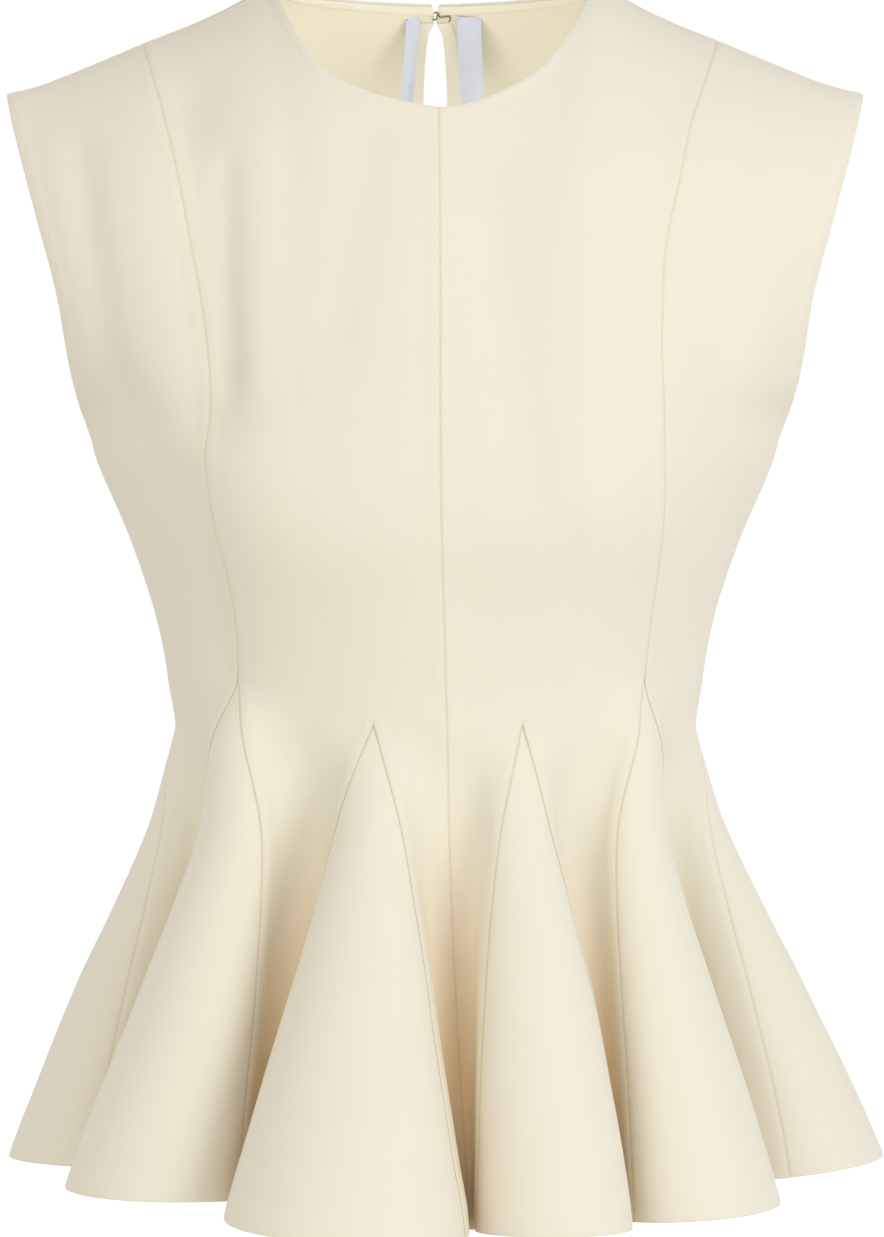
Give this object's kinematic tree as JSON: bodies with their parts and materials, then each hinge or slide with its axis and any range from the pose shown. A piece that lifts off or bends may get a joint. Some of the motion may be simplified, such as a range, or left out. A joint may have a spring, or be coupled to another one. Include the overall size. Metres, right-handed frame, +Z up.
{
  "type": "sleeveless top with a flared hem",
  "caption": "Fitted sleeveless top in panels, with godets that flare the hem, a keyhole back and a hook and eye, in the hollow form it has when worn.",
  "frame": {"origin": "on the centre line at the height of the neck points, where the shoulders of the wearer carry the top", "axes": "+Z up, the front faces -Y, the wearer's left is +X"},
  "size_m": [0.4173, 0.3921, 0.5764],
  "materials": {
    "back_centre_left": "smooth matt cream double knit",
    "back_centre_right": "smooth matt cream double knit",
    "back_side_left": "smooth matt cream double knit",
    "back_side_right": "smooth matt cream double knit",
    "front_centre_left": "smooth matt cream double knit",
    "front_centre_right": "smooth matt cream double knit",
    "front_side_left": "smooth matt cream double knit",
    "front_side_right": "smooth matt cream double knit",
    "godet_back_centre_left": "smooth matt cream double knit",
    "godet_back_centre_right": "smooth matt cream double knit",
    "godet_back_princess_left": "smooth matt cream double knit",
    "godet_back_princess_right": "smooth matt cream double knit",
    "godet_front_centre_left": "smooth matt cream double knit",
    "godet_front_centre_right": "smooth matt cream double knit",
    "godet_front_princess_left": "smooth matt cream double knit",
    "godet_front_princess_right": "smooth matt cream double knit",
    "godet_side_left": "smooth matt cream double knit",
    "godet_side_right": "smooth matt cream double knit",
    "keyhole_strip_left": "smooth matt cream double knit",
    "keyhole_strip_right": "smooth matt cream double knit",
    "neck_band_left": "smooth matt cream double knit",
    "neck_band_right": "smooth matt cream double knit",
    "neck_eye": "bright bent wire",
    "neck_hook": "bright bent wire",
    "neck_label_left": "white satin, bare",
    "neck_label_right": "white satin, bare"
  },
  "bodies": {
    "root": {"back_centre_left": "back_centre_left", "back_centre_right": "back_centre_right", "back_side_left": "back_side_left", "back_side_right": "back_side_right", "front_centre_left": "front_centre_left", "front_centre_right": "front_centre_right", "front_side_left": "front_side_left", "front_side_right": "front_side_right", "godet_back_centre_left": "godet_back_centre_left", "godet_back_centre_right": "godet_back_centre_right", "godet_back_princess_left": "godet_back_princess_left", "godet_back_princess_right": "godet_back_princess_right", "godet_front_centre_left": "godet_front_centre_left", "godet_front_centre_right": "godet_front_centre_right", "godet_front_princess_left": "godet_front_princess_left", "godet_front_princess_right": "godet_front_princess_right", "godet_side_left": "godet_side_left", "godet_side_right": "godet_side_right", "keyhole_strip_left": "keyhole_strip_left", "keyhole_strip_right": "keyhole_strip_right", "neck_band_left": "neck_band_left", "neck_band_right": "neck_band_right", "neck_eye": "neck_eye", "neck_hook": "neck_hook", "neck_label_left": "neck_label_left", "neck_label_right": "neck_label_right"}
  },
  "joints": []
}
